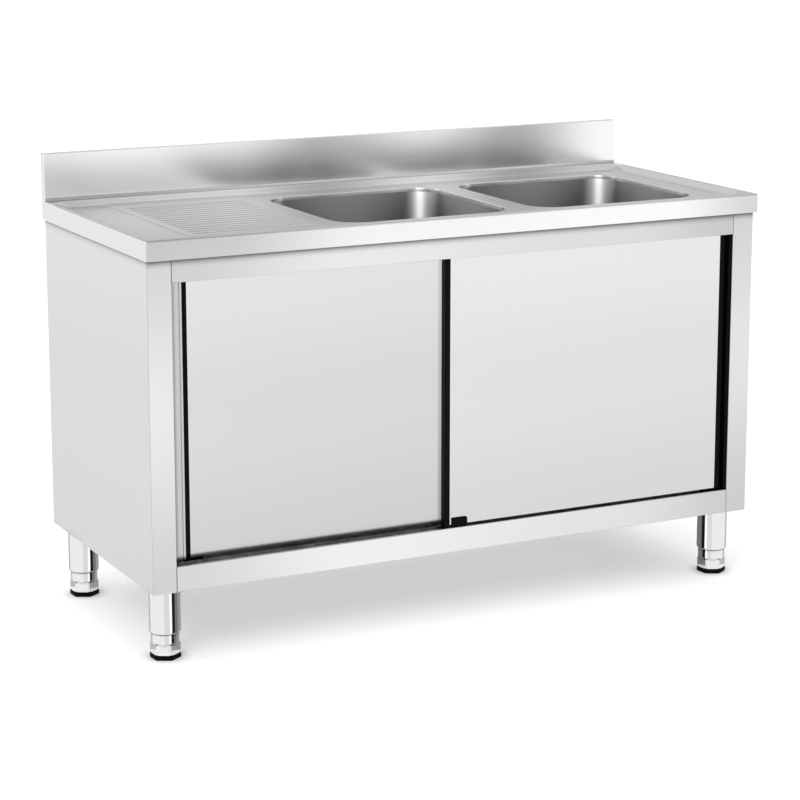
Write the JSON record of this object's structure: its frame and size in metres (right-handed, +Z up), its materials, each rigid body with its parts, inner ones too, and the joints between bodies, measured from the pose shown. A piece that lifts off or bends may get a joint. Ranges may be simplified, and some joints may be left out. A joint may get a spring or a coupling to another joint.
{
  "type": "kitchen sink unit",
  "caption": "Stainless steel sink cabinet on screw feet, with pressed bowls beside a ribbed drainer, a rear upstand and sliding doors.",
  "frame": {"origin": "on the floor, at the middle of the footprint", "axes": "+X along the width towards the bowls, +Y to the rear wall, +Z up; the doors face -Y"},
  "size_m": [1.4, 0.6, 0.95],
  "materials": {
    "brushed_steel": "satin brushed",
    "polished_steel": "polished",
    "galvanised_steel": "galvanised",
    "black_profile": "satin",
    "black_rubber": "matte",
    "white_plastic": "smooth",
    "nylon": "smooth"
  },
  "bodies": {
    "cabinet": {"worktop": "brushed_steel", "bowl_left": "brushed_steel", "bowl_right": "brushed_steel", "back_panel": "brushed_steel", "bottom_shelf": "brushed_steel", "top_rail": "brushed_steel", "bottom_rail": "brushed_steel", "side_panel_left": "brushed_steel", "side_panel_right": "brushed_steel", "front_post_left": "brushed_steel", "front_post_right": "brushed_steel", "deck_stiffener": "galvanised_steel", "shelf_stiffener": "galvanised_steel", "rear_top_rail": "galvanised_steel", "upper_track": "galvanised_steel", "lower_track": "galvanised_steel", "waste_strainer_left": "polished_steel", "waste_strainer_right": "polished_steel", "leg_front_left": "polished_steel", "leg_front_right": "polished_steel", "leg_back_left": "polished_steel", "leg_back_right": "polished_steel", "waste_body_left": "white_plastic", "waste_body_right": "white_plastic", "drain_branch": "white_plastic", "drain_tee": "white_plastic", "trap_bottle": "white_plastic", "outlet_pipe": "white_plastic", "waste_seal_left": "black_rubber", "waste_seal_right": "black_rubber", "post_bumper_left": "black_profile", "post_bumper_right": "black_profile"},
    "door_left": {"door_left_skin": "brushed_steel", "door_left_liner": "brushed_steel", "door_left_edge_left": "black_profile", "door_left_edge_right": "black_profile", "door_left_shoe_left": "black_profile", "door_left_shoe_right": "black_profile", "door_left_hanger_left": "galvanised_steel", "door_left_hanger_right": "galvanised_steel"},
    "roller_left_left": {"door_left_roller_left": "nylon"},
    "roller_left_right": {"door_left_roller_right": "nylon"},
    "door_right": {"door_right_skin": "brushed_steel", "door_right_liner": "brushed_steel", "door_right_edge_left": "black_profile", "door_right_edge_right": "black_profile", "door_right_shoe_left": "black_profile", "door_right_shoe_right": "black_profile", "door_right_hanger_left": "galvanised_steel", "door_right_hanger_right": "galvanised_steel"},
    "roller_right_left": {"door_right_roller_left": "nylon"},
    "roller_right_right": {"door_right_roller_right": "nylon"},
    "screw_foot_front_left": {"foot_front_left": "polished_steel", "foot_pad_front_left": "black_rubber"},
    "screw_foot_front_right": {"foot_front_right": "polished_steel", "foot_pad_front_right": "black_rubber"},
    "screw_foot_back_left": {"foot_back_left": "polished_steel", "foot_pad_back_left": "black_rubber"},
    "screw_foot_back_right": {"foot_back_right": "polished_steel", "foot_pad_back_right": "black_rubber"}
  },
  "joints": [
    {"name": "door_left_slide", "type": "slide", "parent": "cabinet", "child": "door_left", "axis": [1, 0, 0], "range_m": [-0.022, 0.57]},
    {"name": "door_right_slide", "type": "slide", "parent": "cabinet", "child": "door_right", "axis": [1, 0, 0], "range_m": [-0.58, 0.004]},
    {"name": "roller_left_left_turn", "type": "hinge", "parent": "door_left", "child": "roller_left_left", "pos_m": [-0.534, -0.2415, 0.7873], "axis": [0, 1, 0], "range_deg": [-130, 3280]},
    {"name": "roller_left_right_turn", "type": "hinge", "parent": "door_left", "child": "roller_left_right", "pos_m": [-0.014, -0.2415, 0.7873], "axis": [0, 1, 0], "range_deg": [-130, 3280]},
    {"name": "roller_right_left_turn", "type": "hinge", "parent": "door_right", "child": "roller_right_left", "pos_m": [0.032, -0.2685, 0.7873], "axis": [0, 1, 0], "range_deg": [-3335, 30]},
    {"name": "roller_right_right_turn", "type": "hinge", "parent": "door_right", "child": "roller_right_right", "pos_m": [0.552, -0.2685, 0.7873], "axis": [0, 1, 0], "range_deg": [-3335, 30]},
    {"name": "foot_front_left_screw", "type": "slide", "parent": "cabinet", "child": "screw_foot_front_left", "axis": [0, 0, -1], "range_m": [0, 0.03]},
    {"name": "foot_front_right_screw", "type": "slide", "parent": "cabinet", "child": "screw_foot_front_right", "axis": [0, 0, -1], "range_m": [0, 0.03]},
    {"name": "foot_back_left_screw", "type": "slide", "parent": "cabinet", "child": "screw_foot_back_left", "axis": [0, 0, -1], "range_m": [0, 0.03]},
    {"name": "foot_back_right_screw", "type": "slide", "parent": "cabinet", "child": "screw_foot_back_right", "axis": [0, 0, -1], "range_m": [0, 0.03]}
  ],
  "couplings": [
    {"joint": "roller_left_left_turn", "follows": "door_left_slide", "rad_per_m": 100},
    {"joint": "roller_left_right_turn", "follows": "door_left_slide", "rad_per_m": 100},
    {"joint": "roller_right_left_turn", "follows": "door_right_slide", "rad_per_m": 100},
    {"joint": "roller_right_right_turn", "follows": "door_right_slide", "rad_per_m": 100}
  ]
}
